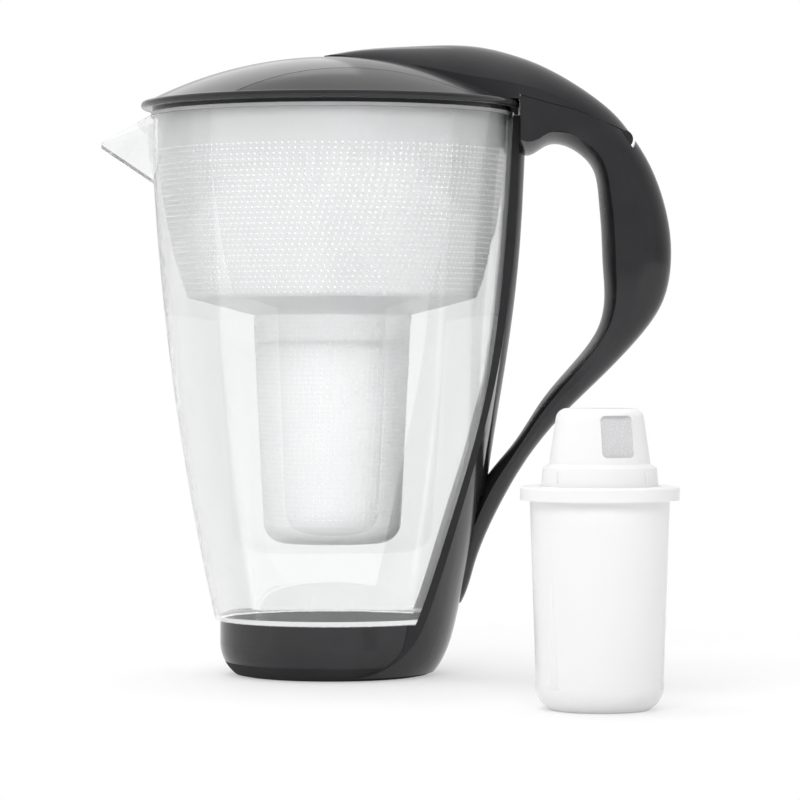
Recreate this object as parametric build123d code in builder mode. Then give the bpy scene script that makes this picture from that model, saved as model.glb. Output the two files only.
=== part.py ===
"""Water filter pitcher with a flip lid, with one cartridge fitted and one standing beside it.

Frame: the origin is the centre of the foot on the jug's own axis, +Z is up, the handle is
on +X and the spout on -X.  The standing cartridge is on the -Y side.  Millimetres.
"""
from build123d import *
import os
from math import atan2, copysign, cos, degrees, hypot, radians, sin, sqrt

os.makedirs("parts", exist_ok=True)

# ---------------------------------------------------------------- driving dimensions
# Clearances
slide_gap = 0.35        # between pieces that lift out of each other
seat_gap = 0.2          # between a piece and the seat that it is lifted from
shell_gap = 0.2         # between the jug and the frame that is wrapped round it
seam_gap = 0.5          # round the flap
rear_gap = 0.4          # between the lid's flat and the handle
pin_clearance = 0.1     # on the hinge pin's radius
hopper_clearance = 1.1  # between the hopper and the jug's rim
well_clearance = 1.35   # round the cartridge's flange
lid_clearance = 1.8     # under the lid's band

# Base cup and its pad
foot_height = 0.5       # how far the pad stands out under the cup
base_radius = 50.2
base_top = 24.4
base_bend = 14.0        # height where the cup's side starts to turn in
base_belly = (1.9, 6.6)     # inset from the cup's side, and height
base_sole = 7.0         # inset of the sole's edge
base_wall = 2.2
base_floor = 3.6
base_ease = 1.0
pad_inset = 2.3         # from the sole's edge
pad_recess = 1.6

# Jug, whose side is one arc through its foot, belly and rim
jug_step = 2.2          # how far it stands out over the cup
jug_belly_radius = 71.5
jug_belly_height = 133.0
jug_rim_radius = 81.1
jug_rim = 249.2
jug_wall = 2.0
jug_floor = 2.6
jug_heel = 1.8
jug_plug_wall = 2.0
jug_plug_depth = 9.0
spout_wall = 1.2
spout_slope = 0.72      # half width of the V for each millimetre above its keel
# From the rim's edge: how far out, how far down the keel lies, how high the top edge lies
spout_steps = [(-7.1, 33.6, 2.4), (22.1, 13.9, -11.3)]

# Hopper with its well: insets from the hopper's top radius, and depths below the rim
hopper_flange = 1.6
hopper_wall = 1.8
hopper_shoulder_step = (0.8, 23.2)
hopper_waist_step = (5.6, 52.7)
hopper_corner_step = (13.4, 80.8)
well_top_drop = 7.6     # below the hopper's corner
well_floor_gap = 4.6    # under the cartridge
well_heel = (2.7, 2.7)  # inset and height of the middle of the well's rounded edge
well_heel_height = 8.2
well_low_clearance = 3.0
well_sole_clearance = 1.5
drain_radius = 2.5
drain_circle = 12.5
drain_count = 6
cartridge_drop = 99.7   # of the cartridge's seat, below the rim
seat_rib = 3.0
rib_clearance = 0.65

# Lid
band_height = 3.0
band_overhang = 1.8
lip_bulge = 2.5
skirt_inset = 0.6       # from the hopper's flange
tab_half = 8.0
plug_depth = 5.4
plug_wall = 2.0
dome_rise = 20.3
dome_inset = 0.2
dome_wall = 2.2
segment_centre = (32.9, 196.8)
segment_radius = 144.4

# Hinge at the tail of the cover, from the rim's edge
hinge_step = (49.1, -10.2)
hinge_pin_radius = 1.5
knuckle_radius = 3.6
disc_radius = 4.0
pocket_radius = 5.5
arm_half = 3.6
arm_height = 3.4
arm_bend = (-8.2, 10.4)
arm_under = (-3.8, 5.6)
lug_reach = 9.4
pin_reach = 8.4
notch_depth = 14.0
tail_trim = 1.0         # in front of the hinge
cover_wall = 2.2

# Handle: the seam between it and the cover, from the rim's edge
seam_steps = [(2.5, 8.2), (28.2, 2.0), (53.2, -8.2)]
spine_sole = 1.5
spine_top_step = 0.4
spine_thickness = 3.4    # at its top
spine_foot = [(-4.4, 1.5), (0.1, 8.5), (3.0, 16.0)]     # from the cup's side, and height
spine_skin = [(28.0, 3.0), (63.0, 3.1)]     # height, thickness
# Where the spine's cover lies on it: height, thickness of the spine, bulge of the cover
spine_lining = [
    (80.0, 3.0, 2.2),
    (98.0, 2.9, 1.8),
    (133.0, 3.3, 1.9),
    (170.0, 3.8, 2.4),
    (205.0, 3.8, 2.4),
    (238.0, 3.6, 2.3),
]
lining_half = 9.2
spine_edge = [(10.0, 176.0), (13.1, 143.0), (20.8, 115.0), (33.4, 63.0), (36.8, 28.0), (43.5, 1.5)]
grip_inset = 0.4
grip_drop = 99.2        # below the rim, where the handle leaves its front plane
frame_reach = 100.0     # beyond the handle in every direction
# Inner edge, outer edge, half width, and where the side's flat begins and ends.
# These lie out from the rim's edge and up from the rim.
upper_flow = [
    ((-84.6, 12.8), (-84.6, 27.7), 1.0, 0.1, 0.97),
    ((-69.1, 8.8), (-69.1, 30.2), 9.0, 0.1, 0.80),
    ((-51.1, 4.8), (-51.1, 31.5), 17.0, 0.1, 0.68),
    ((-33.1, 0.8), (-33.1, 32.2), 25.0, 0.1, 0.60),
    ((-19.1, -3.2), (-19.1, 31.8), 30.0, 0.1, 0.56),
    ((-8.1, -8.2), (-8.1, 30.0), 30.6, 0.1, 0.60),
    ((2.5, -15.7), (2.5, 27.0), 26.0, 0.1, 0.67),
    ((14.9, -12.6), (15.4, 21.8), 20.6, 0.13, 0.65),
    ((24.4, -13.2), (30.9, 12.8), 17.0, 0.18, 0.62),
    ((31.9, -18.2), (43.9, 2.8), 15.3, 0.2, 0.56),
    ((36.3, -24.7), (55.9, -12.2), 14.8, 0.2, 0.52),
    ((38.3, -36.8), (64.1, -27.8), 14.6, 0.18, 0.50),
    ((39.5, -52.2), (69.9, -49.2), 14.4, 0.17, 0.50),
    ((40.1, -66.2), (70.5, -67.2), 14.2, 0.17, 0.50),
    ((40.8, -81.2), (65.7, -85.2), 13.6, 0.18, 0.50),
    ((37.9, -94.2), (53.2, -102.0), 12.8, 0.22, 0.50),
    ((29.9, -106.2), (40.1, -115.6), 11.8, 0.25, 0.50),
]
# These lie out from the jug's side, at heights above the foot.
lower_flow = [
    ((23.9, 122.8), (33.3, 115.0), 10.0, 0.28, 0.50),
    ((13.4, 102.6), (21.3, 96.8), 9.0, 0.3, 0.50),
    ((4.3, 88.4), (15.0, 82.8), 8.4, 0.4, 0.57),
    ((0.4, 70.0), (9.7, 67.0), 7.8, 0.3, 0.50),
    ((-2.8, 50.0), (6.2, 49.4), 7.2, 0.3, 0.50),
    ((-5.1, 32.0), (3.7, 32.0), 6.6, 0.3, 0.50),
]
grip_start = 6          # the section where the handle begins
cover_end = 11

# Screws between cover and flap: place, and the height of the boss from the dome's top
screw_places = [(44.0, -10.0, 1.0), (44.0, 10.0, 1.0), (66.0, -14.0, -1.2), (66.0, 14.0, -1.2)]
screw_length = 6.0
screw_head_radius = 2.9
screw_head_height = 1.6
screw_shank_radius = 1.4
boss_radius = 3.2

# Cartridge, heights above its own sole
cup_radius = 28.2
cup_low_radius = 25.9
cup_low = 12.0
cup_sole_radius = 20.0
cup_heel = (24.3, 4.0)
cup_height = 84.5
cup_wall = 1.6
cup_flange_radius = 32.15
cup_flange = 5.5
flange_round = 1.2
cap_shoulder_radius = 23.7
cap_shoulder = 7.5
cap_taper = 0.8
cap_step = 1.6
cap_base_radius = 20.4
cap_top_radius = 17.2
cap_height = 31.4
cap_wall = 1.5
cap_round = 4.5
window_width = 13.6
window_height = 17.0
window_tilt = 8.0
window_turn = 20.0
window_depth = 16.6
window_centre = 20.0
window_round = 2.0
slot_turns = (-138.0, -42.0)
slot_height = 1.2
slot_length = 5.0
slot_depth = 0.8
slot_width = 1.8
screen_thickness = 1.2
screen_lap = 0.3
screen_slack = 0.05
flute_count = 3
flute_turn = 222.0
flute_sections = [(68.0, 0.4, 27.9), (40.0, 1.9, 28.2), (9.0, 3.2, 27.6)]
outlet_radius = 1.2
outlet_rings = [(6.0, 6), (12.0, 12)]
spare_place = (111.0, -164.0)

# ---------------------------------------------------------------- worked out from them
base_sole_radius = base_radius - base_sole
base_belly_radius = base_radius - base_belly[0]
cup_inside = base_radius - base_wall
cup_floor = foot_height + base_floor
pad_radius = base_sole_radius - pad_inset
jug_foot_radius = base_radius + jug_step
jug_floor_top = base_top + jug_floor
plug_ring = cup_inside - seat_gap
flange_top = jug_rim + hopper_flange
spout_sections = [
    (jug_rim_radius + out, jug_rim - down, jug_rim + up) for out, down, up in spout_steps
]

hopper_top_radius = jug_rim_radius - jug_wall - hopper_clearance
hopper_flange_radius = jug_rim_radius - seat_gap
hopper_shoulder, hopper_waist, hopper_corner = [
    (hopper_top_radius - inset, jug_rim - drop)
    for inset, drop in (hopper_shoulder_step, hopper_waist_step, hopper_corner_step)
]
cartridge_seat = jug_rim - cartridge_drop
well_top_radius = cup_flange_radius + well_clearance + hopper_wall
well_top = hopper_corner[1] - well_top_drop
well_sole_radius = cup_sole_radius + well_sole_clearance
well_sole = cartridge_seat + seat_gap - cup_height - well_floor_gap - hopper_wall
well_low_radius = cup_low_radius + well_low_clearance + hopper_wall
well_low = well_sole + well_heel_height
heel_shift = hopper_wall * sin(radians(45))

band_bottom = flange_top + lid_clearance
band_top = band_bottom + band_height
band_radius = jug_rim_radius + band_overhang
lip_radius = band_radius + lip_bulge
skirt_radius = hopper_flange_radius - skirt_inset
plug_outer = hopper_top_radius - hopper_wall - slide_gap
plug_inner = plug_outer - plug_wall
lid_top = band_top + dome_rise
dome_radius = band_radius - dome_inset
dome_sphere = (dome_radius**2 + dome_rise**2) / (2 * dome_rise)
dome_centre = lid_top - dome_sphere
dome_half_angle = degrees(atan2(dome_radius, dome_sphere - dome_rise))
inner_dome_radius = sqrt((dome_sphere - dome_wall) ** 2 - (dome_sphere - dome_rise) ** 2)
inner_half_angle = degrees(atan2(inner_dome_radius, dome_sphere - dome_rise))

seam = [(jug_rim_radius + out, jug_rim + up) for out, up in seam_steps]
frame_front, frame_top = seam[0]
lid_rear_flat = frame_front - rear_gap
hinge_x = jug_rim_radius + hinge_step[0]
hinge_z = jug_rim + hinge_step[1]
arm_outline = [
    (plug_inner, band_bottom),
    (plug_inner, band_top + arm_height),
    (lid_rear_flat, frame_top + slide_gap + arm_height),
    (seam[1][0], seam[1][1] + slide_gap + arm_height),
    (hinge_x + arm_bend[0], hinge_z + arm_bend[1]),
    (hinge_x, hinge_z + knuckle_radius),
    (hinge_x - knuckle_radius, hinge_z),
    (hinge_x + arm_under[0], hinge_z + arm_under[1]),
    (seam[1][0], seam[1][1] + slide_gap),
    (lid_rear_flat, frame_top + slide_gap),
    (lid_rear_flat, band_bottom),
]

# Centre of the jug's side, from the top edge of the cup
low_run, low_rise = jug_belly_radius - jug_foot_radius, jug_belly_height - base_top
high_run, high_rise = jug_rim_radius - jug_foot_radius, jug_rim - base_top
low_square, high_square = low_run**2 + low_rise**2, high_run**2 + high_rise**2
side_twist = 2 * (low_run * high_rise - high_run * low_rise)
side_x = (high_rise * low_square - low_rise * high_square) / side_twist
side_z = (low_run * high_square - high_run * low_square) / side_twist


def jug_side(height):
    """Radius of the jug's outside at a height."""
    across = sqrt(side_x**2 + side_z**2 - (height - base_top - side_z) ** 2)
    return jug_foot_radius + side_x - copysign(across, side_x)


spine_top = jug_rim + spine_top_step
spine_back = (
    [(base_radius + out, height) for out, height in spine_foot]
    + [(jug_side(height) + thickness, height) for height, thickness in spine_skin]
    + [(jug_side(height) + thickness, height) for height, thickness, bulge in spine_lining]
    + [(jug_rim_radius + spine_thickness, spine_top)]
)
tab_outline = [
    (plug_outer, band_bottom),
    (plug_outer, flange_top + seat_gap),
    (hopper_flange_radius + slide_gap, flange_top + seat_gap),
    (hopper_flange_radius + slide_gap, spine_top + slide_gap),
    (lid_rear_flat, spine_top + slide_gap),
    (lid_rear_flat, band_bottom),
]
frame_far = jug_rim_radius + frame_reach
frame_region = [
    (0, spine_sole),
    (0, jug_rim - grip_drop),
    (frame_front, jug_rim - grip_drop),
    *seam,
    (frame_far, seam[2][1]),
    (frame_far, spine_sole),
]
cover_region = [
    (-frame_reach, band_top + slide_gap),
    (lid_rear_flat, band_top + slide_gap),
    (lid_rear_flat, seam[0][1] + slide_gap),
    (seam[1][0], seam[1][1] + slide_gap),
    (seam[2][0], seam[2][1] + slide_gap),
    (frame_far, seam[2][1] + slide_gap),
    (frame_far, lid_top + frame_reach),
    (-frame_reach, lid_top + frame_reach),
]
flow_sections = [
    (
        (jug_rim_radius + inner[0], jug_rim + inner[1]),
        (jug_rim_radius + outer[0], jug_rim + outer[1]),
        half,
        crease,
        shoulder,
    )
    for inner, outer, half, crease, shoulder in upper_flow
] + [
    (
        (jug_side(inner[1]) + inner[0], inner[1]),
        (jug_side(outer[1]) + outer[0], outer[1]),
        half,
        crease,
        shoulder,
    )
    for inner, outer, half, crease, shoulder in lower_flow
]

cap_joint = cup_height + cup_flange
cup_bore = cup_radius - 2 * cup_wall
cap_ledge = cap_joint + cap_shoulder + cap_step
cap_roof = cap_joint + cap_height - cap_wall
window_planes = [
    Plane(
        origin=(window_depth * cos(turn), window_depth * sin(turn), cap_joint + window_centre),
        x_dir=(-sin(turn), cos(turn), 0),
        z_dir=(cos(turn), sin(turn), sin(radians(window_tilt))),
    )
    for turn in (radians(window_turn - 90), radians(window_turn + 90))
]


def export(piece, name):
    piece.part.label = name
    export_step(piece.part, f"parts/{name}.step")
    print(f"{name}: {len(piece.part.solids())} solid(s), {piece.part.volume / 1000:.1f} cm3")


# ---------------------------------------------------------------- base cup and pad
with BuildPart() as base_cup:
    with BuildSketch(Plane.XZ):
        with BuildLine():
            Line((0, foot_height), (base_sole_radius, foot_height))
            ThreePointArc(
                (base_sole_radius, foot_height),
                (base_belly_radius, base_belly[1]),
                (base_radius, base_bend),
            )
            Line((base_radius, base_bend), (base_radius, base_top))
            Line((base_radius, base_top), (cup_inside, base_top))
            Line((cup_inside, base_top), (cup_inside, base_bend))
            Line((cup_inside, base_bend), (base_belly_radius - base_wall - base_ease, cup_floor))
            Line((base_belly_radius - base_wall - base_ease, cup_floor), (0, cup_floor))
            Line((0, cup_floor), (0, foot_height))
        make_face()
    revolve(axis=Axis.Z)
    with BuildSketch(Plane.XY.offset(foot_height)):
        Circle(pad_radius)
    extrude(amount=pad_recess, mode=Mode.SUBTRACT)
export(base_cup, "base_cup")

with BuildPart() as base_pad:
    with BuildSketch(Plane.XY):
        Circle(pad_radius)
    extrude(amount=foot_height + pad_recess)
    fillet(base_pad.edges().group_by(Axis.Z)[0], foot_height / 2)
export(base_pad, "base_pad")


# ---------------------------------------------------------------- jug
with BuildPart() as jug:
    with BuildSketch(Plane.XZ):
        with BuildLine():
            Line((0, base_top), (jug_foot_radius, base_top))
            ThreePointArc(
                (jug_foot_radius, base_top), (jug_belly_radius, jug_belly_height), (jug_rim_radius, jug_rim)
            )
            Line((jug_rim_radius, jug_rim), (0, jug_rim))
            Line((0, jug_rim), (0, base_top))
        make_face()
    revolve(axis=Axis.Z)
    fillet(jug.edges().group_by(Axis.Z)[0], jug_heel)
    # Spout: a V that narrows and rises to its tip
    for distance, keel, top in spout_sections:
        half = spout_slope * (top - keel)
        with BuildSketch(Plane.YZ.offset(-distance)):
            Polygon((-half, top), (0, keel), (half, top), align=None)
    loft(ruled=True)
    # Inside of the jug
    with BuildSketch(Plane.XZ):
        with BuildLine():
            Line((0, jug_floor_top), (jug_foot_radius - jug_wall, jug_floor_top))
            ThreePointArc(
                (jug_foot_radius - jug_wall, jug_floor_top),
                (jug_belly_radius - jug_wall, jug_belly_height),
                (jug_rim_radius - jug_wall, jug_rim),
            )
            Line((jug_rim_radius - jug_wall, jug_rim), (jug_rim_radius - jug_wall, lid_top))
            Line((jug_rim_radius - jug_wall, lid_top), (0, lid_top))
            Line((0, lid_top), (0, jug_floor_top))
        make_face()
    revolve(axis=Axis.Z, mode=Mode.SUBTRACT)
    # Channel of the spout, through the jug's wall
    for distance, keel, top in spout_sections:
        floor = keel + spout_wall * hypot(1, spout_slope) / spout_slope
        reach = (lid_top - floor) * spout_slope
        with BuildSketch(Plane.YZ.offset(-distance)):
            Polygon((-reach, lid_top), (0, floor), (reach, lid_top), align=None)
    loft(ruled=True, mode=Mode.SUBTRACT)
    split(bisect_by=Plane.XY.offset(jug_rim), keep=Keep.BOTTOM)
    # Plug that drops into the base cup
    with BuildSketch(Plane.XY.offset(base_top)):
        Circle(plug_ring)
        Circle(plug_ring - jug_plug_wall, mode=Mode.SUBTRACT)
    extrude(amount=-jug_plug_depth)
export(jug, "jug")

# ---------------------------------------------------------------- hopper
with BuildPart() as hopper:
    with BuildSketch(Plane.XZ):
        with BuildLine():
            Line((0, well_sole), (well_sole_radius, well_sole))
            ThreePointArc(
                (well_sole_radius, well_sole),
                (well_low_radius - well_heel[0], well_sole + well_heel[1]),
                (well_low_radius, well_low),
            )
            Line((well_low_radius, well_low), (well_top_radius, well_top))
            Line((well_top_radius, well_top), hopper_corner)
            ThreePointArc(hopper_corner, hopper_waist, hopper_shoulder)
            Line(hopper_shoulder, (hopper_top_radius, jug_rim))
            Line((hopper_top_radius, jug_rim), (hopper_flange_radius, jug_rim))
            Line((hopper_flange_radius, jug_rim), (hopper_flange_radius, flange_top))
            Line((hopper_flange_radius, flange_top), (0, flange_top))
            Line((0, flange_top), (0, well_sole))
        make_face()
    revolve(axis=Axis.Z)
    with BuildSketch(Plane.XZ):
        with BuildLine():
            Line((0, well_sole + hopper_wall), (well_sole_radius, well_sole + hopper_wall))
            ThreePointArc(
                (well_sole_radius, well_sole + hopper_wall),
                (well_low_radius - well_heel[0] - heel_shift, well_sole + well_heel[1] + heel_shift),
                (well_low_radius - hopper_wall, well_low),
            )
            Line(
                (well_low_radius - hopper_wall, well_low),
                (well_top_radius - hopper_wall, well_top + hopper_wall),
            )
            Line(
                (well_top_radius - hopper_wall, well_top + hopper_wall),
                (hopper_corner[0] - hopper_wall / 2, hopper_corner[1] + hopper_wall),
            )
            ThreePointArc(
                (hopper_corner[0] - hopper_wall / 2, hopper_corner[1] + hopper_wall),
                (hopper_waist[0] - hopper_wall, hopper_waist[1]),
                (hopper_shoulder[0] - hopper_wall, hopper_shoulder[1]),
            )
            Line(
                (hopper_shoulder[0] - hopper_wall, hopper_shoulder[1]),
                (hopper_top_radius - hopper_wall, flange_top),
            )
            Line((hopper_top_radius - hopper_wall, flange_top), (0, flange_top))
            Line((0, flange_top), (0, well_sole + hopper_wall))
        make_face()
    revolve(axis=Axis.Z, mode=Mode.SUBTRACT)
    # Rib that the cartridge's flange rests on
    with BuildSketch(Plane.XY.offset(cartridge_seat - seat_rib)):
        Circle(well_top_radius - hopper_wall / 2)
        Circle(cup_radius + rib_clearance, mode=Mode.SUBTRACT)
    extrude(amount=seat_rib)
    with BuildSketch(Plane.XY.offset(well_sole)):
        with PolarLocations(drain_circle, drain_count):
            Circle(drain_radius)
    extrude(amount=hopper_wall, mode=Mode.SUBTRACT)
export(hopper, "hopper")

# ---------------------------------------------------------------- lid
with BuildPart() as dome_shell:
    with BuildSketch(Plane.XZ):
        with BuildLine():
            Line((0, lid_top - dome_wall), (0, lid_top))
            CenterArc((0, dome_centre), dome_sphere, 90 - dome_half_angle, dome_half_angle)
            Line((dome_radius, band_top), (inner_dome_radius, band_top))
            CenterArc((0, dome_centre), dome_sphere - dome_wall, 90 - inner_half_angle, inner_half_angle)
        make_face()
    revolve(axis=Axis.Z)

with BuildPart() as lid_ring:
    add(dome_shell.part)
    with BuildSketch(Plane.XY.offset(band_bottom)):
        with Locations((segment_centre[0], segment_centre[1]), (segment_centre[0], -segment_centre[1])):
            Circle(segment_radius)
    extrude(amount=lid_top, mode=Mode.INTERSECT)
    with BuildSketch(Plane.XZ):
        with BuildLine():
            Line((plug_inner, band_top), (band_radius, band_top))
            ThreePointArc(
                (band_radius, band_top),
                (lip_radius, band_bottom + band_height / 2),
                (band_radius, band_bottom),
            )
            Line((band_radius, band_bottom), (skirt_radius, band_bottom))
            Line((skirt_radius, band_bottom), (skirt_radius, flange_top + seat_gap))
            Line((skirt_radius, flange_top + seat_gap), (plug_outer, flange_top + seat_gap))
            Line((plug_outer, flange_top + seat_gap), (plug_outer, flange_top - plug_depth))
            Line((plug_outer, flange_top - plug_depth), (plug_inner, flange_top - plug_depth))
            Line((plug_inner, flange_top - plug_depth), (plug_inner, band_top))
        make_face()
    revolve(axis=Axis.Z)
    split(bisect_by=Plane.YZ.offset(lid_rear_flat), keep=Keep.BOTTOM)
    # Tab under the band that closes the view between the lid and the handle
    with BuildSketch(Plane.XZ):
        Polygon(*tab_outline, align=None)
    extrude(amount=tab_half, both=True)
    # Arm that runs back over the handle, inside the cover, to the hinge
    with BuildSketch(Plane.XZ):
        Polygon(*arm_outline, align=None)
        with Locations((hinge_x, hinge_z)):
            Circle(knuckle_radius)
    extrude(amount=arm_half, both=True)
    with BuildSketch(Plane.XZ):
        with Locations((hinge_x, hinge_z)):
            Circle(hinge_pin_radius + pin_clearance)
    extrude(amount=arm_half, both=True, mode=Mode.SUBTRACT)
export(lid_ring, "lid_ring")

# Screws that hold the cover to the flap, from below
with BuildPart() as cover_screws:
    for x, y, roof in screw_places:
        under = dome_centre + sqrt((dome_sphere - dome_wall) ** 2 - (hypot(x, y) + screw_head_radius) ** 2)
        with BuildSketch(Plane.XY.offset(under - screw_head_height)):
            with Locations((x, y)):
                Circle(screw_head_radius)
        extrude(amount=screw_head_height)
        with BuildSketch(Plane.XY.offset(under)):
            with Locations((x, y)):
                Circle(screw_shank_radius)
        extrude(amount=screw_length)
export(cover_screws, "cover_screws")

with BuildPart() as flap_panel:
    add(dome_shell.part)
    with BuildSketch(Plane.XY.offset(band_bottom)):
        with Locations((segment_centre[0], segment_centre[1]), (segment_centre[0], -segment_centre[1])):
            Circle(segment_radius + seam_gap)
    extrude(amount=lid_top, mode=Mode.SUBTRACT)
    split(bisect_by=Plane.XY.offset(band_top + seat_gap), keep=Keep.TOP)
    # Notch that the arm passes through
    with BuildSketch(Plane.XY.offset(band_bottom)):
        with Locations((dome_radius, 0)):
            Rectangle(2 * notch_depth, 2 * (arm_half + slide_gap))
    extrude(amount=lid_top, mode=Mode.SUBTRACT)
    add(cover_screws.part, mode=Mode.SUBTRACT)
export(flap_panel, "flap_panel")

# ---------------------------------------------------------------- cover and handle
# Both follow one list of sections, so that their skins meet at the seam.  Each section
# stands across the path, from a point on its inner edge to one on its outer edge.
# Room that the jug and its cup take up, with the gap round them
with BuildPart() as jug_room:
    with BuildSketch(Plane.XZ):
        with BuildLine():
            Line((0, 0), (base_sole_radius + shell_gap, 0))
            Line((base_sole_radius + shell_gap, 0), (base_sole_radius + shell_gap, foot_height))
            ThreePointArc(
                (base_sole_radius + shell_gap, foot_height),
                (base_belly_radius + shell_gap, base_belly[1]),
                (base_radius + shell_gap, base_bend),
            )
            Line((base_radius + shell_gap, base_bend), (base_radius + shell_gap, base_top))
            Line((base_radius + shell_gap, base_top), (jug_foot_radius + shell_gap, base_top))
            ThreePointArc(
                (jug_foot_radius + shell_gap, base_top),
                (jug_belly_radius + shell_gap, jug_belly_height),
                (jug_rim_radius + shell_gap, jug_rim),
            )
            Line((jug_rim_radius + shell_gap, jug_rim), (jug_rim_radius + shell_gap, lid_top))
            Line((jug_rim_radius + shell_gap, lid_top), (0, lid_top))
            Line((0, lid_top), (0, 0))
        make_face()
    revolve(axis=Axis.Z)

# Spine: a strip down the jug's back that widens into a foot round the cup
with BuildPart() as spine:
    with BuildSketch(Plane.XZ):
        with BuildLine():
            Line((0, spine_sole), spine_back[0])
            Spline(*spine_back)
            Line(spine_back[-1], (0, spine_top))
            Line((0, spine_top), (0, spine_sole))
        make_face()
    revolve(axis=Axis.Z)
    with BuildSketch(Plane.YZ):
        with BuildLine() as outline:
            Line((0, spine_top), (spine_edge[0][0], spine_top))
            Line((spine_edge[0][0], spine_top), spine_edge[0])
            Spline(*spine_edge, tangents=[(0, -1), (0.4, -1)])
            Line(spine_edge[-1], (0, spine_sole))
            mirror(about=Plane.YZ)
        make_face()
    extrude(amount=frame_front + spine_thickness, mode=Mode.INTERSECT)
    add(jug_room.part, mode=Mode.SUBTRACT)

with BuildPart() as handle_frame:
    for inner, outer, half, crease, shoulder in flow_sections[grip_start:]:
        depth = hypot(outer[0] - inner[0], outer[1] - inner[1])
        along = (outer[1] - inner[1], 0, inner[0] - outer[0])
        with BuildSketch(Plane((inner[0], 0, inner[1]), x_dir=(0, 1, 0), z_dir=along)):
            with BuildLine():
                Line((-half, depth * crease), (-half, depth * shoulder))
                ThreePointArc((-half, depth * shoulder), (0, depth), (half, depth * shoulder))
                Line((half, depth * shoulder), (half, depth * crease))
                Line((half, depth * crease), (-half, depth * crease))
            make_face()
    loft()
    with BuildSketch(Plane.XZ):
        Polygon(*frame_region, align=None)
    extrude(amount=frame_reach, both=True, mode=Mode.INTERSECT)
    add(jug_room.part, mode=Mode.SUBTRACT)
    add(spine.part)
    # Pocket for the hinge, open upwards so that the lid lifts off
    with BuildSketch(Plane.XZ):
        with Locations((hinge_x, hinge_z)):
            Circle(pocket_radius)
        with Locations((hinge_x - pocket_radius, hinge_z)):
            Rectangle(4 * pocket_radius, 4 * pocket_radius, align=(Align.MIN, Align.MIN))
    extrude(amount=lug_reach + slide_gap, both=True, mode=Mode.SUBTRACT)
export(handle_frame, "handle_frame")

# Cover of the handle's inner side
with BuildPart() as grip_cover:
    for inner, outer, half, crease, shoulder in flow_sections[grip_start:]:
        depth = hypot(outer[0] - inner[0], outer[1] - inner[1])
        along = (outer[1] - inner[1], 0, inner[0] - outer[0])
        with BuildSketch(Plane((inner[0], 0, inner[1]), x_dir=(0, 1, 0), z_dir=along)):
            with BuildLine():
                Line((grip_inset - half, depth * crease), (half - grip_inset, depth * crease))
                ThreePointArc(
                    (half - grip_inset, depth * crease), (0, 0), (grip_inset - half, depth * crease)
                )
            make_face()
    loft()
    add(jug_room.part, mode=Mode.SUBTRACT)
    add(handle_frame.part, mode=Mode.SUBTRACT)
export(grip_cover, "grip_cover")

# Cover of the spine, on the other side of the hand's gap
with BuildPart() as spine_cover:
    for height, thickness, bulge in spine_lining:
        back = jug_side(height) + thickness
        edge = sqrt(back**2 - lining_half**2)
        with BuildSketch(Plane.XY.offset(height)):
            with BuildLine():
                Line((edge, lining_half), (edge, -lining_half))
                ThreePointArc((edge, -lining_half), (back + bulge, 0), (edge, lining_half))
            make_face()
    loft()
    add(handle_frame.part, mode=Mode.SUBTRACT)
    add(grip_cover.part, mode=Mode.SUBTRACT)
export(spine_cover, "spine_cover")

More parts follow.
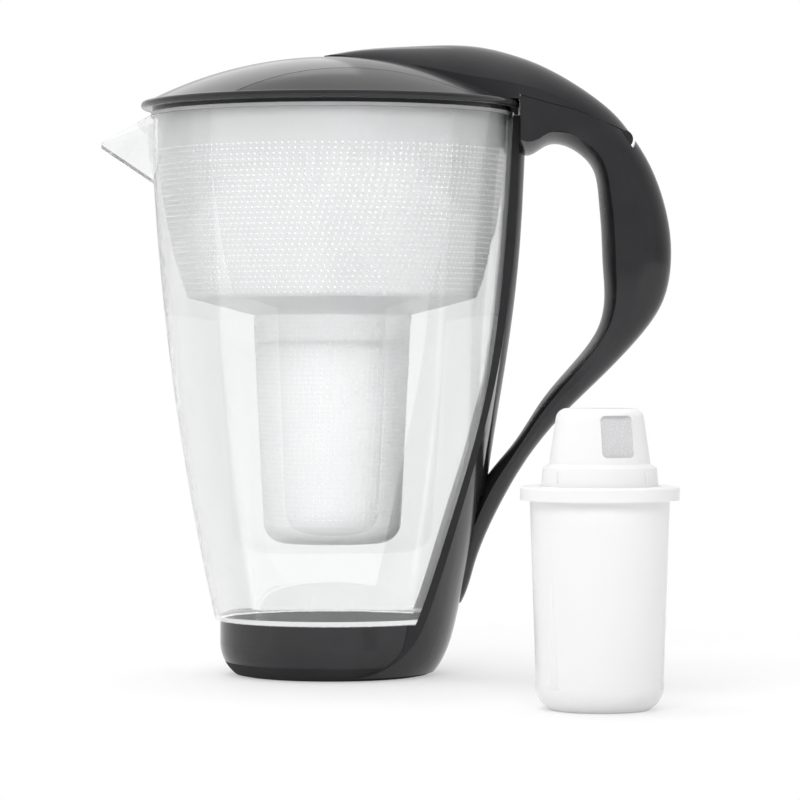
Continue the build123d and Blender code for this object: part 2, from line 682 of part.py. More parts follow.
# Cover of the lid, which runs back over the handle
with BuildPart() as lid_cover:
    for inner, outer, half, crease, shoulder in flow_sections[:cover_end]:
        depth = hypot(outer[0] - inner[0], outer[1] - inner[1])
        along = (outer[1] - inner[1], 0, inner[0] - outer[0])
        with BuildSketch(Plane((inner[0], 0, inner[1]), x_dir=(0, 1, 0), z_dir=along)):
            with BuildLine():
                Line((-half, depth * crease), (-half, depth * shoulder))
                ThreePointArc((-half, depth * shoulder), (0, depth), (half, depth * shoulder))
                Line((half, depth * shoulder), (half, depth * crease))
                Line((half, depth * crease), (-half, depth * crease))
            make_face()
    loft()
    with BuildSketch(Plane.XZ):
        Polygon(*cover_region, align=None)
    extrude(amount=frame_reach, both=True, mode=Mode.INTERSECT)
    for inner, outer, half, crease, shoulder in flow_sections[2:grip_start]:
        top = outer[1] - inner[1] - cover_wall
        inside = half - cover_wall
        side = (outer[1] - inner[1]) * shoulder - cover_wall
        with BuildSketch(Plane((inner[0], 0, inner[1]), x_dir=(0, 1, 0), z_dir=(1, 0, 0))):
            with BuildLine():
                Line((-inside, 0), (-inside, side))
                ThreePointArc((-inside, side), (0, top), (inside, side))
                Line((inside, side), (inside, 0))
                Line((inside, 0), (-inside, 0))
            make_face()
    loft(mode=Mode.SUBTRACT)
    for x, y, roof in screw_places:
        with BuildSketch(Plane.XY.offset(band_top)):
            with Locations((x, y)):
                Circle(boss_radius)
        extrude(amount=lid_top + roof - band_top)
    # Lugs on the hinge, with the arm's slot between them
    with BuildSketch(Plane.XZ):
        with Locations((hinge_x, hinge_z)):
            Circle(disc_radius)
    extrude(amount=lug_reach, both=True)
    with BuildSketch(Plane.XZ):
        Polygon(*arm_outline, align=None)
        with Locations((hinge_x, hinge_z)):
            Circle(disc_radius)
        offset(amount=slide_gap)
    extrude(amount=arm_half + slide_gap, both=True, mode=Mode.SUBTRACT)
    with BuildSketch(Plane.XZ):
        with Locations((hinge_x, hinge_z)):
            Circle(hinge_pin_radius)
    extrude(amount=pin_reach, both=True, mode=Mode.SUBTRACT)
    # Tail cut short beside the lugs, so that it clears the handle as the flap opens
    for side in (1, -1):
        with BuildSketch(Plane.XZ.offset(side * lug_reach)):
            with Locations((hinge_x - tail_trim, hinge_z)):
                Rectangle(frame_reach, frame_reach, align=(Align.MIN, Align.CENTER))
        extrude(amount=side * frame_reach, mode=Mode.SUBTRACT)
    # Seat on the dome
    with BuildSketch(Plane.XZ):
        with BuildLine():
            CenterArc((0, dome_centre), dome_sphere, 90 - dome_half_angle, dome_half_angle)
            Line((0, lid_top), (0, 0))
            Line((0, 0), (dome_radius, 0))
            Line((dome_radius, 0), (dome_radius, band_top))
        make_face()
    revolve(axis=Axis.Z, mode=Mode.SUBTRACT)
    add(cover_screws.part, mode=Mode.SUBTRACT)
export(lid_cover, "lid_cover")

with BuildPart() as hinge_pin:
    with BuildSketch(Plane.XZ):
        with Locations((hinge_x, hinge_z)):
            Circle(hinge_pin_radius)
    extrude(amount=pin_reach, both=True)
export(hinge_pin, "hinge_pin")

# ---------------------------------------------------------------- cartridge, on its own sole
with BuildPart() as filter_cup:
    with BuildSketch(Plane.XZ):
        with BuildLine():
            Line((0, 0), (cup_sole_radius, 0))
            ThreePointArc((cup_sole_radius, 0), cup_heel, (cup_low_radius, cup_low))
            Line((cup_low_radius, cup_low), (cup_radius, cup_height))
            Line((cup_radius, cup_height), (cup_flange_radius, cup_height))
            Line((cup_flange_radius, cup_height), (cup_flange_radius, cap_joint))
            Line((cup_flange_radius, cap_joint), (0, cap_joint))
            Line((0, cap_joint), (0, 0))
        make_face()
    revolve(axis=Axis.Z)
    fillet(filter_cup.edges().group_by(Axis.Z)[-1], flange_round)
    # Shallow flutes that widen downwards
    for turn in range(flute_count):
        angle = radians(flute_turn + turn * 360 / flute_count)
        for height, width, out in flute_sections:
            with BuildSketch(Plane.XY.offset(height)):
                with Locations((out * cos(angle), out * sin(angle))):
                    Circle(width)
        loft(mode=Mode.SUBTRACT)
    with BuildSketch(Plane.XZ):
        with BuildLine():
            Line((0, cup_wall), (cup_sole_radius - cup_wall, cup_wall))
            Line((cup_sole_radius - cup_wall, cup_wall), (cup_low_radius - 2 * cup_wall, cup_low))
            Line((cup_low_radius - 2 * cup_wall, cup_low), (cup_bore, cup_height))
            Line((cup_bore, cup_height), (cup_bore, cap_joint))
            Line((cup_bore, cap_joint), (0, cap_joint))
            Line((0, cap_joint), (0, cup_wall))
        make_face()
    revolve(axis=Axis.Z, mode=Mode.SUBTRACT)
    # Outlet holes in the sole
    with BuildSketch(Plane.XY):
        for circle, count in outlet_rings:
            with PolarLocations(circle, count):
                Circle(outlet_radius)
    extrude(amount=cup_wall, mode=Mode.SUBTRACT)

with BuildPart() as filter_cap:
    with BuildSketch(Plane.XZ):
        with BuildLine():
            Line((0, cap_joint), (cap_shoulder_radius, cap_joint))
            Line(
                (cap_shoulder_radius, cap_joint),
                (cap_shoulder_radius - cap_taper, cap_joint + cap_shoulder),
            )
            Line((cap_shoulder_radius - cap_taper, cap_joint + cap_shoulder), (cap_base_radius, cap_ledge))
            Line((cap_base_radius, cap_ledge), (cap_top_radius, cap_joint + cap_height))
            Line((cap_top_radius, cap_joint + cap_height), (0, cap_joint + cap_height))
            Line((0, cap_joint + cap_height), (0, cap_joint))
        make_face()
    revolve(axis=Axis.Z)
    fillet(filter_cap.edges().group_by(Axis.Z)[-1], cap_round)
    with BuildSketch(Plane.XZ):
        with BuildLine():
            Line((0, cap_joint), (cap_base_radius - cap_wall, cap_joint))
            Line((cap_base_radius - cap_wall, cap_joint), (cap_base_radius - cap_wall, cap_ledge))
            Line(
                (cap_base_radius - cap_wall, cap_ledge),
                (cap_top_radius - cap_wall, cap_roof + cap_wall - cap_round),
            )
            Line(
                (cap_top_radius - cap_wall, cap_roof + cap_wall - cap_round),
                (cap_top_radius - cap_round, cap_roof),
            )
            Line((cap_top_radius - cap_round, cap_roof), (0, cap_roof))
            Line((0, cap_roof), (0, cap_joint))
        make_face()
    revolve(axis=Axis.Z, mode=Mode.SUBTRACT)
    for window in window_planes:
        with BuildSketch(window):
            RectangleRounded(window_width, window_height, window_round)
        extrude(amount=cap_base_radius, mode=Mode.SUBTRACT)
        with BuildSketch(window.offset(-screen_thickness)):
            Rectangle(window_width + 2 * screen_lap, window_height + 2 * screen_lap)
        extrude(amount=screen_thickness, mode=Mode.SUBTRACT)
    with BuildSketch(Plane.XY.offset(cap_joint + slot_height)):
        for turn in slot_turns:
            with PolarLocations(cap_shoulder_radius, 1, start_angle=turn):
                Rectangle(2 * slot_depth, slot_width)
    extrude(amount=slot_length, mode=Mode.SUBTRACT)

with BuildPart() as vent_screens:
    for window in window_planes:
        with BuildSketch(window.offset(-screen_thickness)):
            Rectangle(window_width + 2 * screen_lap, window_height + 2 * screen_lap)
        extrude(amount=screen_thickness)

with BuildPart() as top_screen:
    with BuildSketch(Plane.XY.offset(cap_joint - screen_thickness)):
        Circle(cup_bore - screen_slack)
    extrude(amount=screen_thickness)

with BuildPart() as bottom_screen:
    with BuildSketch(Plane.XY.offset(cup_wall)):
        Circle(cup_sole_radius - cup_wall)
    extrude(amount=screen_thickness)

with BuildPart() as filter_media:
    with BuildSketch(Plane.XZ):
        Polygon(
            (0, cup_wall + screen_thickness),
            (cup_sole_radius - cup_wall, cup_wall + screen_thickness),
            (cup_low_radius - 2 * cup_wall - seat_gap, cup_low),
            (cup_bore - seat_gap, cup_height),
            (cup_bore - seat_gap, cap_joint - screen_thickness),
            (0, cap_joint - screen_thickness),
            align=None,
        )
    revolve(axis=Axis.Z)

cartridge_pieces = {
    "filter_cup": filter_cup,
    "filter_cap": filter_cap,
    "vent_screens": vent_screens,
    "top_screen": top_screen,
    "bottom_screen": bottom_screen,
    "filter_media": filter_media,
}
fitted = Location((0, 0, cartridge_seat + seat_gap - cup_height))
standing = Location((spare_place[0], spare_place[1], 0))
for prefix, place in (("", fitted), ("spare_", standing)):
    for name, piece in cartridge_pieces.items():
        placed = piece.part.moved(place)
        placed.label = prefix + name
        export_step(placed, f"parts/{prefix}{name}.step")
        print(f"{prefix}{name}: {len(placed.solids())} solid(s), {placed.volume / 1000:.1f} cm3")
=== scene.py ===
# %% [markdown]
# # A water filter pitcher, finished in Blender
# The solid parts of the pitcher come from CAD and are already in place.
# This lesson gives them their plastics, adds the fine moulded texture of the hopper,
# and sets up a small studio round them.  Everything is in metres.

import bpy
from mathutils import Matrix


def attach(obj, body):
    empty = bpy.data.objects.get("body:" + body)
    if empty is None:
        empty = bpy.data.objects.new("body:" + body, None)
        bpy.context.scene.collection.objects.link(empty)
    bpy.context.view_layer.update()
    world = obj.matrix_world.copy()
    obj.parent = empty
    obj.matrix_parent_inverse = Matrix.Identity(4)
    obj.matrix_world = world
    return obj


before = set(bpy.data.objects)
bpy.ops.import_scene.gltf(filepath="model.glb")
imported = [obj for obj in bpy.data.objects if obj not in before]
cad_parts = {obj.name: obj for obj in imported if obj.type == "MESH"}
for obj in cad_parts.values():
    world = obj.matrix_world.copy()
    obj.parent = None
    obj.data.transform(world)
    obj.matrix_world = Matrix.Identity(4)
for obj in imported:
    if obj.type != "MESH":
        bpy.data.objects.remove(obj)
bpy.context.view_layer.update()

# %% [markdown]
# ## Modules and units
# Blender works in metres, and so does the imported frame.  Sizes under a millimetre are
# easier to read as a number of millimetres, so that unit gets a name.

# %% Modules and the millimetre
import math

import bpy
from mathutils import Vector

MM = 0.001
print("one millimetre is", MM, "m")

# %% [markdown]
# ## The camera
# A product photograph is taken from far away with a long lens, so that upright lines stay
# upright.  The camera stands 1.64 m in front of the pitcher, level with its middle, and
# looks down by less than a degree.  A short lens close by would show the same parts with
# their tops and bottoms rounded, which is why the long one was chosen.

# %% Set up the camera
camera_data = bpy.data.cameras.new("camera")
camera_data.lens = 164.7
camera_data.sensor_width = 36.0
camera_data.clip_end = 20.0
look_down = math.radians(0.69)
camera = bpy.data.objects.new("camera", camera_data)
camera.location = (0.0304, -1.640, 0.1425)
camera.rotation_euler = (math.pi / 2 - look_down, 0.0, 0.0)
bpy.context.scene.collection.objects.link(camera)
bpy.context.scene.camera = camera
print("camera at", tuple(round(v, 3) for v in camera.location))

# %% [markdown]
# ## Measuring the CAD parts
# The finishes need a few places on the pitcher: how high the jug's floor lies, how wide
# the cup is inside, and between which heights the hopper stands.  They are worked out
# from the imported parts, so that they follow when the CAD changes.

# %% Measure the cup and the hopper
X, Z = 0, 2
CUP_WALL = 2.2 * MM
FLOOR_OVER_CUP = 5.1 * MM  # the jug's floor lies less than this above the cup's rim


def extent(name, axis):
    """The lowest and the highest place of a CAD part along one axis."""
    places = [corner[axis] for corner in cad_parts[name].bound_box]
    return min(places), max(places)


cup_bore = extent("base_cup", X)[1] - CUP_WALL
floor_limit = extent("base_cup", Z)[1] + FLOOR_OVER_CUP
hopper_sole, hopper_top = extent("hopper", Z)
print("cup's inner radius:", round(cup_bore, 4), "m; jug's floor below", round(floor_limit, 4), "m")
print("hopper from", round(hopper_sole, 4), "to", round(hopper_top, 4), "m")

# %% [markdown]
# ## Two small tools for shader nodes
# A shader is a net of nodes, and two kinds come back again and again: a sum, and a range
# that is carried to another range.  Each gets a function that takes plain numbers or the
# outputs of other nodes, so that the finishes below read like formulas.

# %% Make sums and ranges from nodes
def math_node(nodes, links, operation, first, second):
    """One sum on two inputs, each of which is a number or another node's output."""
    node = nodes.new("ShaderNodeMath")
    node.operation = operation
    for socket, value in zip(node.inputs, (first, second)):
        if isinstance(value, (int, float)):
            socket.default_value = value
        else:
            links.new(value, socket)
    return node.outputs["Value"]


def map_node(nodes, links, value, source, target, smooth=False):
    """Carry a value from the source range to the target range."""
    node = nodes.new("ShaderNodeMapRange")
    if smooth:
        node.interpolation_type = "SMOOTHSTEP"
    node.inputs["From Min"].default_value, node.inputs["From Max"].default_value = source
    node.inputs["To Min"].default_value, node.inputs["To Max"].default_value = target
    links.new(value, node.inputs["Value"])
    return node.outputs["Result"]

# %% [markdown]
# ## How a finish is put together
# Each finish starts from one Principled shader.  Plastic is never perfectly even: moulding
# leaves a slow drift in how polished it is, and a very fine grain that only shows in the
# highlights.  Two noise textures give both, one for roughness and one for a tiny bump.
# Pictures could do this too, but noise has no seams and stays sharp close up.

# %% Start a finish
def start_finish(name, colour, **settings):
    """A material with one Principled shader; settings name its sockets."""
    finish = bpy.data.materials.new(name)
    finish.use_nodes = True
    shader = finish.node_tree.nodes["Principled BSDF"]
    shader.inputs["Base Color"].default_value = (*colour, 1.0)
    for socket, value in settings.items():
        shader.inputs[socket.replace("_", " ")].default_value = value
    print("finish:", name)
    return finish, shader


def noise_in_metres(finish, scale, detail=2.0, stretch=(1.0, 1.0, 1.0)):
    """Noise tied to the part's own coordinates; scale is in patches for each metre."""
    nodes, links = finish.node_tree.nodes, finish.node_tree.links
    place = nodes.new("ShaderNodeTexCoord")
    mapping = nodes.new("ShaderNodeMapping")
    mapping.inputs["Scale"].default_value = stretch
    noise = nodes.new("ShaderNodeTexNoise")
    noise.inputs["Scale"].default_value = scale
    noise.inputs["Detail"].default_value = detail
    links.new(place.outputs["Object"], mapping.inputs["Vector"])
    links.new(mapping.outputs["Vector"], noise.inputs["Vector"])
    return noise

# %% [markdown]
# ## What the noise is used for
# The same noise can drive three things.  It makes the roughness drift, lets the colour
# drift between two near shades, or raises the surface in the shading.  The noise rarely
# leaves its middle range, so that range is stretched over the whole.

# %% Roughness, colour and relief from noise
NOISE_RANGE = (0.3, 0.7)
TINT_RANGE = (0.35, 0.65)


def spread(finish, shader, source, low, high):
    """Let the roughness drift from low to high with the noise."""
    nodes, links = finish.node_tree.nodes, finish.node_tree.links
    roughness = map_node(nodes, links, source.outputs["Fac"], NOISE_RANGE, (low, high))
    links.new(roughness, shader.inputs["Roughness"])


def tint(finish, shader, source, dark, light):
    """Let the colour drift between two near values."""
    nodes, links = finish.node_tree.nodes, finish.node_tree.links
    ramp = nodes.new("ShaderNodeValToRGB")
    for element, position, colour in zip(ramp.color_ramp.elements, TINT_RANGE, (dark, light)):
        element.position = position
        element.color = (*colour, 1.0)
    links.new(source.outputs["Fac"], ramp.inputs["Fac"])
    links.new(ramp.outputs["Color"], shader.inputs["Base Color"])


def emboss(finish, shader, source, depth):
    """Raise the surface by up to depth metres, in the shading only."""
    nodes, links = finish.node_tree.nodes, finish.node_tree.links
    bump = nodes.new("ShaderNodeBump")
    bump.inputs["Strength"].default_value = 1.0
    bump.inputs["Distance"].default_value = depth
    links.new(source.outputs["Fac"], bump.inputs["Height"])
    links.new(bump.outputs["Normal"], shader.inputs["Normal"])

# %% [markdown]
# ## Putting a finish on a part
# The CAD parts keep their meshes.  Only the material in each slot is exchanged, so what
# is painted here is exactly what was packed.

# %% Paint CAD parts
def paint(finish, *names):
    """Give a finish to carried-over CAD parts."""
    for name in names:
        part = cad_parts[name]
        if not part.material_slots:
            part.data.materials.append(finish)
        for slot in part.material_slots:
            slot.material = finish
    print(finish.name, "->", ", ".join(names))

# %% [markdown]
# ## Dark gloss plastic
# The lid, the cover, the handle and the cup are one polished charcoal plastic.  It is not
# black: a black would swallow the soft shading that shows the handle's form.  The polish
# drifts slightly, and a long slow ripple of a hundredth of a millimetre bends the
# highlights a little, as on any large moulding.

# %% Make the dark gloss
dark_gloss, shader = start_finish("dark_gloss", (0.030, 0.030, 0.032), IOR=1.38)
spread(dark_gloss, shader, noise_in_metres(dark_gloss, 90.0, 4.0), 0.10, 0.16)
tint(dark_gloss, shader, noise_in_metres(dark_gloss, 40.0), (0.027, 0.027, 0.029), (0.032, 0.032, 0.034))
emboss(dark_gloss, shader, noise_in_metres(dark_gloss, 35.0, 1.0), 0.01 * MM)
paint(dark_gloss, "handle_frame", "lid_ring", "flap_panel", "lid_cover")

# %% [markdown]
# ## The cup, polished outside and rough inside
# The cup is the same plastic.  Its inside was never polished, because the jug covers it.
# Seen through the jug's floor, a polished inside would be a mirror, so the roughness
# depends on the distance from the pitcher's axis.

# %% Make the cup's finish
EDGE = 0.2 * MM  # over which the rough inside turns into the polished outside

cup_gloss = dark_gloss.copy()
cup_gloss.name = "cup_gloss"
nodes, links = cup_gloss.node_tree.nodes, cup_gloss.node_tree.links
place = nodes.new("ShaderNodeTexCoord")
across = nodes.new("ShaderNodeVectorMath")
across.operation = "MULTIPLY"
across.inputs[1].default_value = (1.0, 1.0, 0.0)
radius = nodes.new("ShaderNodeVectorMath")
radius.operation = "LENGTH"
links.new(place.outputs["Object"], across.inputs[0])
links.new(across.outputs["Vector"], radius.inputs[0])
roughness = map_node(nodes, links, radius.outputs["Value"], (cup_bore + EDGE, cup_bore), (0.13, 0.95))
links.new(roughness, nodes["Principled BSDF"].inputs["Roughness"])
paint(cup_gloss, "base_cup")

# %% [markdown]
# ## The darker faces round the hand's gap, with painted shade
# The grip's lining and the spine's cover are separate mouldings with a fine grain instead of
# a polish. Their deeper black is painted shade for the dark faces round the hand's gap.

# %% Make the inner plastic, darkened as painted shade
# the base colour and its tint are darker than the dark gloss: painted shade for the hand's gap
dark_inner, shader = start_finish("dark_inner", (0.012, 0.012, 0.013), IOR=1.49)
spread(dark_inner, shader, noise_in_metres(dark_inner, 120.0, 4.0), 0.20, 0.28)
tint(dark_inner, shader, noise_in_metres(dark_inner, 40.0), (0.010, 0.010, 0.011), (0.014, 0.014, 0.015))
emboss(dark_inner, shader, noise_in_metres(dark_inner, 900.0), 0.004 * MM)
paint(dark_inner, "grip_cover", "spine_cover")

# %% [markdown]
# ## Light through clear plastic
# Lamps can't find their way through bent light, and whatever stands behind a clear wall
# would go dark.  So a share of each lamp's light is let straight through, for shadow rays
# alone.  The share that passes can be raised for other rays too.

# %% Let light pass straight through a finish
LEVEL_ENOUGH = 0.8  # the upright share of a level face's normal, at least


def let_light_pass(finish, shader, shadow_share, window=None):
    """Mix in a see-through shader: for shadows by a share, for all rays by window."""
    nodes, links = finish.node_tree.nodes, finish.node_tree.links
    ray = nodes.new("ShaderNodeLightPath")
    amount = math_node(nodes, links, "MULTIPLY", ray.outputs["Is Shadow Ray"], shadow_share)
    if window is not None:
        amount = math_node(nodes, links, "MAXIMUM", amount, window)
    clear = nodes.new("ShaderNodeBsdfTransparent")
    mix = nodes.new("ShaderNodeMixShader")
    links.new(amount, mix.inputs["Fac"])
    links.new(shader.outputs["BSDF"], mix.inputs[1])
    links.new(clear.outputs["BSDF"], mix.inputs[2])
    links.new(mix.outputs["Shader"], nodes["Material Output"].inputs["Surface"])


def level_floor(finish, height):
    """1 on level faces below a height, 0 elsewhere."""
    nodes, links = finish.node_tree.nodes, finish.node_tree.links
    skin = nodes.new("ShaderNodeNewGeometry")
    facing = nodes.new("ShaderNodeSeparateXYZ")
    links.new(skin.outputs["True Normal"], facing.inputs["Vector"])
    upright = math_node(nodes, links, "ABSOLUTE", facing.outputs["Z"], 0.0)
    level = math_node(nodes, links, "GREATER_THAN", upright, LEVEL_ENOUGH)
    place = nodes.new("ShaderNodeTexCoord")
    spot = nodes.new("ShaderNodeSeparateXYZ")
    links.new(place.outputs["Object"], spot.inputs["Vector"])
    low = math_node(nodes, links, "LESS_THAN", spot.outputs["Z"], height)
    return math_node(nodes, links, "MULTIPLY", level, low)

# %% [markdown]
# ## Clear plastic
# The jug is a thick clear moulding.  A transparent material could fade the wall out, but
# only a refracting one gives the bright and dark lines where the wall is seen edge-on.
# The wall has both its faces in the CAD, so the light bends twice, as in the real one.
# The jug's floor is seen at such a flat angle that it would be a mirror, so most of its
# light goes straight through to the dark cup under it.

# %% Make the clear plastic
WALL_WINDOW, FLOOR_WINDOW = 0.15, 0.985

clear_plastic, shader = start_finish("clear_plastic", (0.985, 0.99, 0.99), IOR=1.45, Transmission_Weight=1.0)
spread(clear_plastic, shader, noise_in_metres(clear_plastic, 60.0, 2.0, (1.0, 1.0, 0.35)), 0.0, 0.02)
nodes, links = clear_plastic.node_tree.nodes, clear_plastic.node_tree.links
on_floor = level_floor(clear_plastic, floor_limit)
window = map_node(nodes, links, on_floor, (0.0, 1.0), (WALL_WINDOW, FLOOR_WINDOW))
let_light_pass(clear_plastic, shader, 0.97, window)
paint(clear_plastic, "jug")

# %% [markdown]
# ## Frosted plastic
# The hopper is a milky plastic that lets light through but blurs what is behind it.  Part
# of its light is scattered by the surface, as on paper, and part goes through the wall.
# With all of it going through, the hopper would look like ground glass and take on the
# colour of the room, so about a third is left to the surface.

# %% Make the frosted plastic
frosted_plastic, shader = start_finish(
    "frosted_plastic", (0.97, 0.97, 0.975), IOR=1.42, Transmission_Weight=0.66
)
haze = noise_in_metres(frosted_plastic, 500.0, 5.0)
spread(frosted_plastic, shader, haze, 0.30, 0.42)
drift = noise_in_metres(frosted_plastic, 30.0)
tint(frosted_plastic, shader, drift, (0.96, 0.963, 0.966), (0.98, 0.982, 0.985))
emboss(frosted_plastic, shader, haze, 0.01 * MM)
let_light_pass(frosted_plastic, shader, 0.93)
paint(frosted_plastic, "hopper")

# %% [markdown]
# ## White plastic
# The cartridges are white polypropylene, which is waxy: it glows a little inside, so a
# touch of subsurface light softens its shadows.

# %% Make the white plastic
white_plastic, shader = start_finish(
    "white_plastic", (0.84, 0.84, 0.84), IOR=1.49, Subsurface_Weight=0.1, Subsurface_Scale=1 * MM
)
shader.inputs["Subsurface Radius"].default_value = (1.0, 1.0, 1.0)
spread(white_plastic, shader, noise_in_metres(white_plastic, 150.0, 3.0), 0.30, 0.36)
drift = noise_in_metres(white_plastic, 25.0)
tint(white_plastic, shader, drift, (0.835, 0.835, 0.835), (0.845, 0.845, 0.842))
emboss(white_plastic, shader, noise_in_metres(white_plastic, 2500.0), 0.001 * MM)
paint(white_plastic, "filter_cup", "filter_cap", "spare_filter_cup", "spare_filter_cap")

# %% [markdown]
# ## Screens and granules
# The screens are woven and the granules are dark grains.  Both are made of small separate
# things, so a cell texture takes the place of smooth noise: each cell is one crossing of
# threads, or one grain.

# %% Make the screens and the granules
def cell_finish(name, colour, dark, light, cells, roughness, depth):
    """A finish made of small cells: threads' crossings, or grains; cells is their number in a metre."""
    finish, shader = start_finish(name, colour, Roughness=roughness)
    nodes, links = finish.node_tree.nodes, finish.node_tree.links
    place = nodes.new("ShaderNodeTexCoord")
    grains = nodes.new("ShaderNodeTexVoronoi")
    grains.inputs["Scale"].default_value = cells
    ramp = nodes.new("ShaderNodeValToRGB")
    ramp.color_ramp.elements[0].color = (*dark, 1.0)
    ramp.color_ramp.elements[1].color = (*light, 1.0)
    bump = nodes.new("ShaderNodeBump")
    bump.inputs["Distance"].default_value = depth
    links.new(place.outputs["Object"], grains.inputs["Vector"])
    links.new(grains.outputs["Distance"], ramp.inputs["Fac"])
    links.new(grains.outputs["Distance"], bump.inputs["Height"])
    links.new(ramp.outputs["Color"], shader.inputs["Base Color"])
    links.new(bump.outputs["Normal"], shader.inputs["Normal"])
    return finish


vent_grey = cell_finish(
    "vent_grey", (0.60, 0.60, 0.61), dark=(0.56, 0.56, 0.57), light=(0.70, 0.70, 0.71),
    cells=1600.0, roughness=0.45, depth=0.03 * MM,
)
screen_white = cell_finish(
    "screen_white", (0.80, 0.80, 0.79), dark=(0.70, 0.70, 0.69), light=(0.82, 0.82, 0.81),
    cells=1400.0, roughness=0.7, depth=0.08 * MM,
)
filter_granules = cell_finish(
    "filter_granules", (0.05, 0.045, 0.04), dark=(0.03, 0.028, 0.025), light=(0.11, 0.10, 0.09),
    cells=900.0, roughness=0.8, depth=0.3 * MM,
)
paint(vent_grey, "vent_screens", "spare_vent_screens")
paint(screen_white, "top_screen", "bottom_screen", "spare_top_screen", "spare_bottom_screen")
paint(filter_granules, "filter_media", "spare_filter_media")

# %% [markdown]
# ## Rubber and steel
# The pad under the cup is matt rubber.  The screws and the hinge pin are plain steel, with
# fine turning marks that run round them, made by noise squeezed along one direction.

# %% Make the rubber and the steel
pad_rubber, shader = start_finish("pad_rubber", (0.03, 0.03, 0.03), Roughness=0.85)
drift = noise_in_metres(pad_rubber, 400.0)
tint(pad_rubber, shader, drift, (0.024, 0.024, 0.024), (0.036, 0.036, 0.036))
emboss(pad_rubber, shader, noise_in_metres(pad_rubber, 2500.0), 0.03 * MM)
paint(pad_rubber, "base_pad")

steel, shader = start_finish("steel", (0.56, 0.56, 0.57), Metallic=1.0)
turning = noise_in_metres(steel, 600.0, 3.0, (0.2, 1.0, 0.2))
spread(steel, shader, turning, 0.22, 0.36)
tint(steel, shader, noise_in_metres(steel, 300.0), (0.53, 0.53, 0.54), (0.60, 0.60, 0.61))
emboss(steel, shader, turning, 0.006 * MM)
paint(steel, "cover_screws", "hinge_pin")

# %% [markdown]
# ## The hopper's raised dots
# The hopper is covered in small raised dots in even rows, which make it look woven from
# afar.  A bump texture would shade them, but their white specks come from real slopes
# that catch the light, so each dot is a low six-sided stud of its own, a little taller
# than wide.  Its foot is sunk a hair into the skin, so that no gap shows under it.

# %% Make one stud
STUD_SIDES = 6
STUD_WIDTH = 0.8  # as a share of its height along the wall
SUNK = 0.02 * MM
FAR_OUT = 0.2  # from the axis, outside the whole hopper

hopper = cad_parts["hopper"]


def skin_towards(outward, height):
    """The place and the normal of the hopper's skin, met from far outside at a height."""
    start = outward * FAR_OUT + Vector((0.0, 0.0, height))
    return hopper.ray_cast(start, -outward)[1:3]


def add_stud(corners, faces, place, normal, stud_radius, rise):
    """A low cone that stands square to the skin."""
    side = normal.cross(Vector((0.0, 0.0, 1.0))).normalized()
    up = side.cross(normal)
    first = len(corners)
    tip = first + STUD_SIDES
    for step in range(STUD_SIDES):
        angle = 2 * math.pi * step / STUD_SIDES
        around = side * (STUD_WIDTH * math.cos(angle)) + up * math.sin(angle)
        corners.append(place + around * stud_radius - normal * SUNK)
        faces.append((first + step, first + (step + 1) % STUD_SIDES, tip))
    corners.append(place + normal * rise)


print("a stud has", STUD_SIDES, "sides")

# %% [markdown]
# ## Rows round the hopper
# A row's studs are spaced by the hopper's girth at that height, so the columns stay
# upright where the wall leans.  All the dots of one zone are one mesh, laid out row by
# row: the wide bowl has larger dots than the narrow well under it.  The zones keep clear
# of the flange, the shoulder and the well's rounded foot.

# %% Lay out the studs
def stud_field(name, low, high, row_pitch, column_pitch, stud_radius, rise):
    """Rows of studs from one height to another."""
    corners, faces = [], []
    rows = round((high - low) / row_pitch)
    for row in range(rows + 1):
        height = low + row * row_pitch
        girth = 2 * math.pi * skin_towards(Vector((1.0, 0.0, 0.0)), height)[0].x
        columns = round(girth / column_pitch)
        for column in range(columns):
            turn = 2 * math.pi * column / columns
            place, normal = skin_towards(Vector((math.cos(turn), math.sin(turn), 0.0)), height)
            add_stud(corners, faces, place, normal, stud_radius, rise)
    mesh = bpy.data.meshes.new(name)
    mesh.from_pydata([tuple(c) for c in corners], [], faces)
    mesh.polygons.foreach_set("use_smooth", [True] * len(mesh.polygons))
    field = bpy.data.objects.new(name, mesh)
    bpy.context.scene.collection.objects.link(field)
    print(name, "studs:", len(faces) // STUD_SIDES)
    return field


bowl_dots = stud_field(
    "bowl_dots", low=hopper_top - 81.0 * MM, high=hopper_top - 16.3 * MM,
    row_pitch=2.28 * MM, column_pitch=2.9 * MM, stud_radius=0.60 * MM, rise=0.42 * MM,
)
well_dots = stud_field(
    "well_dots", low=hopper_sole + 11.2 * MM, high=hopper_top - 91.8 * MM,
    row_pitch=2.08 * MM, column_pitch=2.6 * MM, stud_radius=0.52 * MM, rise=0.32 * MM,
)

# %% [markdown]
# ## The dots' finish
# The studs are the same milky plastic as the hopper.  They are solid and thicker than the
# wall, so they scatter more of the light and look whiter.  They ride up with the hopper.

# %% Finish the dots and let them ride on the hopper
frosted_dots, shader = start_finish("frosted_dots", (0.97, 0.97, 0.97), IOR=1.45, Transmission_Weight=0.1)
spread(frosted_dots, shader, noise_in_metres(frosted_dots, 400.0), 0.22, 0.34)
tint(frosted_dots, shader, noise_in_metres(frosted_dots, 60.0), (0.93, 0.93, 0.94), (0.98, 0.98, 0.98))
for field in (bowl_dots, well_dots):
    field.data.materials.append(frosted_dots)
    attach(field, "hopper_body")
    print(field.name, "rides on hopper_body")

# %% [markdown]
# ## The floor
# The pitcher stands on a plain white sweep, a hair below its pad so that the two faces
# don't fight.

# %% Make the floor
floor_side = 8.0
half = floor_side / 2
floor_mesh = bpy.data.meshes.new("floor")
floor_corners = [(-half, -half, 0), (half, -half, 0), (half, half, 0), (-half, half, 0)]
floor_mesh.from_pydata(floor_corners, [], [(0, 1, 2, 3)])
floor = bpy.data.objects.new("floor", floor_mesh)
floor.location = (0.03, -0.03, -0.2 * MM)
bpy.context.scene.collection.objects.link(floor)
print("floor side:", floor_side, "m")

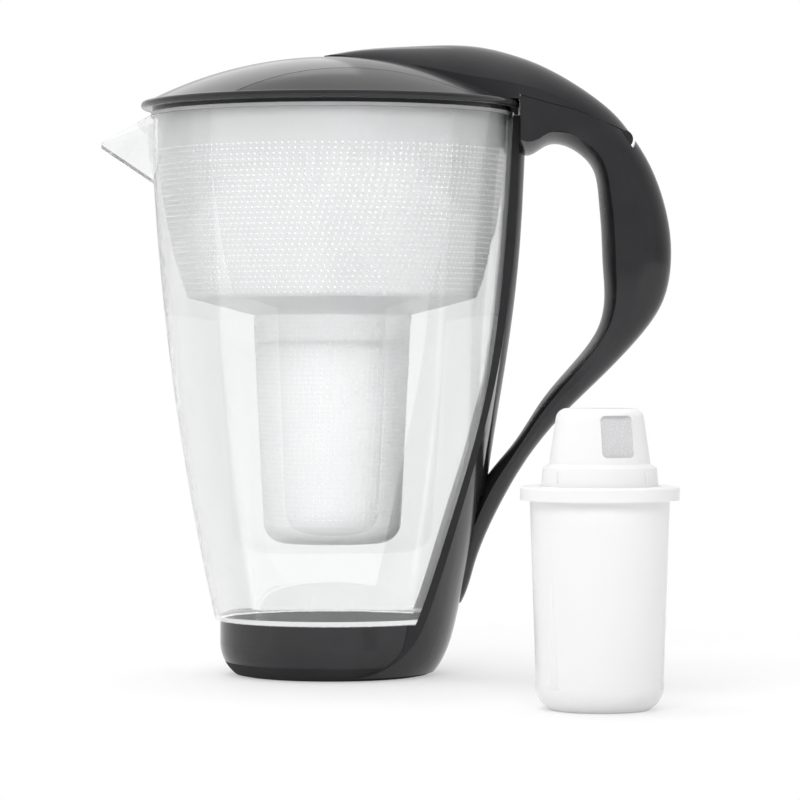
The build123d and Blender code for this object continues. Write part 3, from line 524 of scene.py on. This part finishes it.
# %% [markdown]
# ## The floor's white
# Near the pitcher the floor is a real white surface that catches the soft shadow; further
# out it fades into even white, so that no horizon shows.  The fade follows the distance
# from the pitcher, not the camera.  Only rays from the camera, a mirror or a clear wall
# see it: lamps light the floor as a plain white one.

# %% Fade the floor into white
SHADOW_REACH, WHITE_REACH = 0.12, 0.40
NEAR_GLOW, FAR_GLOW = 0.45, 1.0

floor_white, shader = start_finish("floor_white", (0.90, 0.90, 0.90), Roughness=0.7)
nodes, links = floor_white.node_tree.nodes, floor_white.node_tree.links
place = nodes.new("ShaderNodeTexCoord")
distance = nodes.new("ShaderNodeVectorMath")
distance.operation = "LENGTH"
links.new(place.outputs["Object"], distance.inputs[0])
away = distance.outputs["Value"]
fade = map_node(nodes, links, away, (SHADOW_REACH, WHITE_REACH), (NEAR_GLOW, FAR_GLOW), smooth=True)
ray = nodes.new("ShaderNodeLightPath")
seen = math_node(nodes, links, "MAXIMUM", ray.outputs["Is Camera Ray"], ray.outputs["Is Transmission Ray"])
seen = math_node(nodes, links, "MAXIMUM", seen, ray.outputs["Is Glossy Ray"])
amount = math_node(nodes, links, "MULTIPLY", seen, fade)
glow = nodes.new("ShaderNodeEmission")
glow.inputs["Color"].default_value = (1.0, 1.0, 1.0, 1.0)
mix = nodes.new("ShaderNodeMixShader")
links.new(amount, mix.inputs["Fac"])
links.new(shader.outputs["BSDF"], mix.inputs[1])
links.new(glow.outputs["Emission"], mix.inputs[2])
links.new(mix.outputs["Shader"], nodes["Material Output"].inputs["Surface"])
floor.data.materials.append(floor_white)
print("floor white from", WHITE_REACH, "m out")

# %% [markdown]
# ## The room
# Glossy dark plastic shows its surroundings more than its colour.  The room is white
# behind the pitcher and dim on the camera's side, as in a real studio with a lit
# backdrop, so the faces turned to the camera stay dark and their edges catch light.
# The camera itself sees plain white everywhere.

# %% Make the room
ROOM_FRONT, ROOM_BACK = 0.27, 1.0
THROUGH_FRONT, THROUGH_BACK = 0.4, 1.0

world = bpy.data.worlds.new("studio")
world.use_nodes = True
bpy.context.scene.world = world
nodes, links = world.node_tree.nodes, world.node_tree.links
nodes.clear()
direction = nodes.new("ShaderNodeTexCoord")
parts = nodes.new("ShaderNodeSeparateXYZ")
links.new(direction.outputs["Generated"], parts.inputs["Vector"])
to_the_back = parts.outputs["Y"]
ray = nodes.new("ShaderNodeLightPath")

# What lights the pitcher and shows in its gloss.
dim = nodes.new("ShaderNodeBackground")
room = map_node(nodes, links, to_the_back, (-0.45, 0.55), (ROOM_FRONT, ROOM_BACK), smooth=True)
links.new(room, dim.inputs["Strength"])

# What is seen past the pitcher, or through its clear walls.
bright = nodes.new("ShaderNodeBackground")
bright.inputs["Color"].default_value = (1.0, 1.0, 1.0, 1.0)
through = map_node(nodes, links, to_the_back, (0.1, 0.85), (THROUGH_FRONT, THROUGH_BACK), smooth=True)
white = math_node(nodes, links, "MAXIMUM", through, ray.outputs["Is Camera Ray"])
links.new(white, bright.inputs["Strength"])

mix = nodes.new("ShaderNodeMixShader")
seen = math_node(nodes, links, "MAXIMUM", ray.outputs["Is Camera Ray"], ray.outputs["Is Transmission Ray"])
links.new(seen, mix.inputs["Fac"])
links.new(dim.outputs["Background"], mix.inputs[1])
links.new(bright.outputs["Background"], mix.inputs[2])
output = nodes.new("ShaderNodeOutputWorld")
links.new(mix.outputs["Shader"], output.inputs["Surface"])
print("room strength from", ROOM_FRONT, "in front to", ROOM_BACK, "behind")

# %% [markdown]
# ## The lamps
# Four soft lamps light the white and frosted plastics.  They don't show in the gloss,
# where their squares would look like windows.  Two dim cards do show there instead, and
# draw the broad soft highlights on the lid and the handle.

# %% Set up the lamps and the cards
AIM = (0.02, 0.0, 0.14)


def softbox(name, place, aim, width, height, power):
    """A soft rectangular lamp that faces a point and is not seen by the camera."""
    data = bpy.data.lights.new(name, "AREA")
    data.shape = "RECTANGLE"
    data.size = width
    data.size_y = height
    data.energy = power
    lamp = bpy.data.objects.new(name, data)
    lamp.location = place
    lamp.rotation_euler = (Vector(aim) - Vector(place)).to_track_quat("-Z", "Y").to_euler()
    lamp.visible_camera = False
    bpy.context.scene.collection.objects.link(lamp)
    print(name, power, "W")
    return lamp


lamps = [
    softbox("left_softbox", (-1.15, -0.35, 0.55), (0.0, 0.0, 0.14), 1.1, 1.2, 1.8),
    softbox("right_softbox", (1.35, -0.95, 0.8), (0.05, 0.0, 0.14), 0.6, 1.1, 3.2),
    softbox("top_softbox", (-0.1, 0.1, 1.5), AIM, 1.3, 1.0, 10.0),
    softbox("front_softbox", (-0.1, -1.35, 1.0), AIM, 1.0, 0.7, 13.0),
]
for lamp in lamps:
    lamp.visible_glossy = False
softbox("left_card", (-1.2, -0.3, 0.5), (0.0, 0.0, 0.14), 1.1, 1.2, 1.1)
softbox("back_card", (-0.55, 1.45, 1.1), (0.0, 0.0, 0.26), 1.2, 0.8, 1.7)

# %% [markdown]
# ## Colour management
# The scene's output keeps its colours as they are.

# %% Finish
bpy.context.scene.view_settings.view_transform = "Standard"
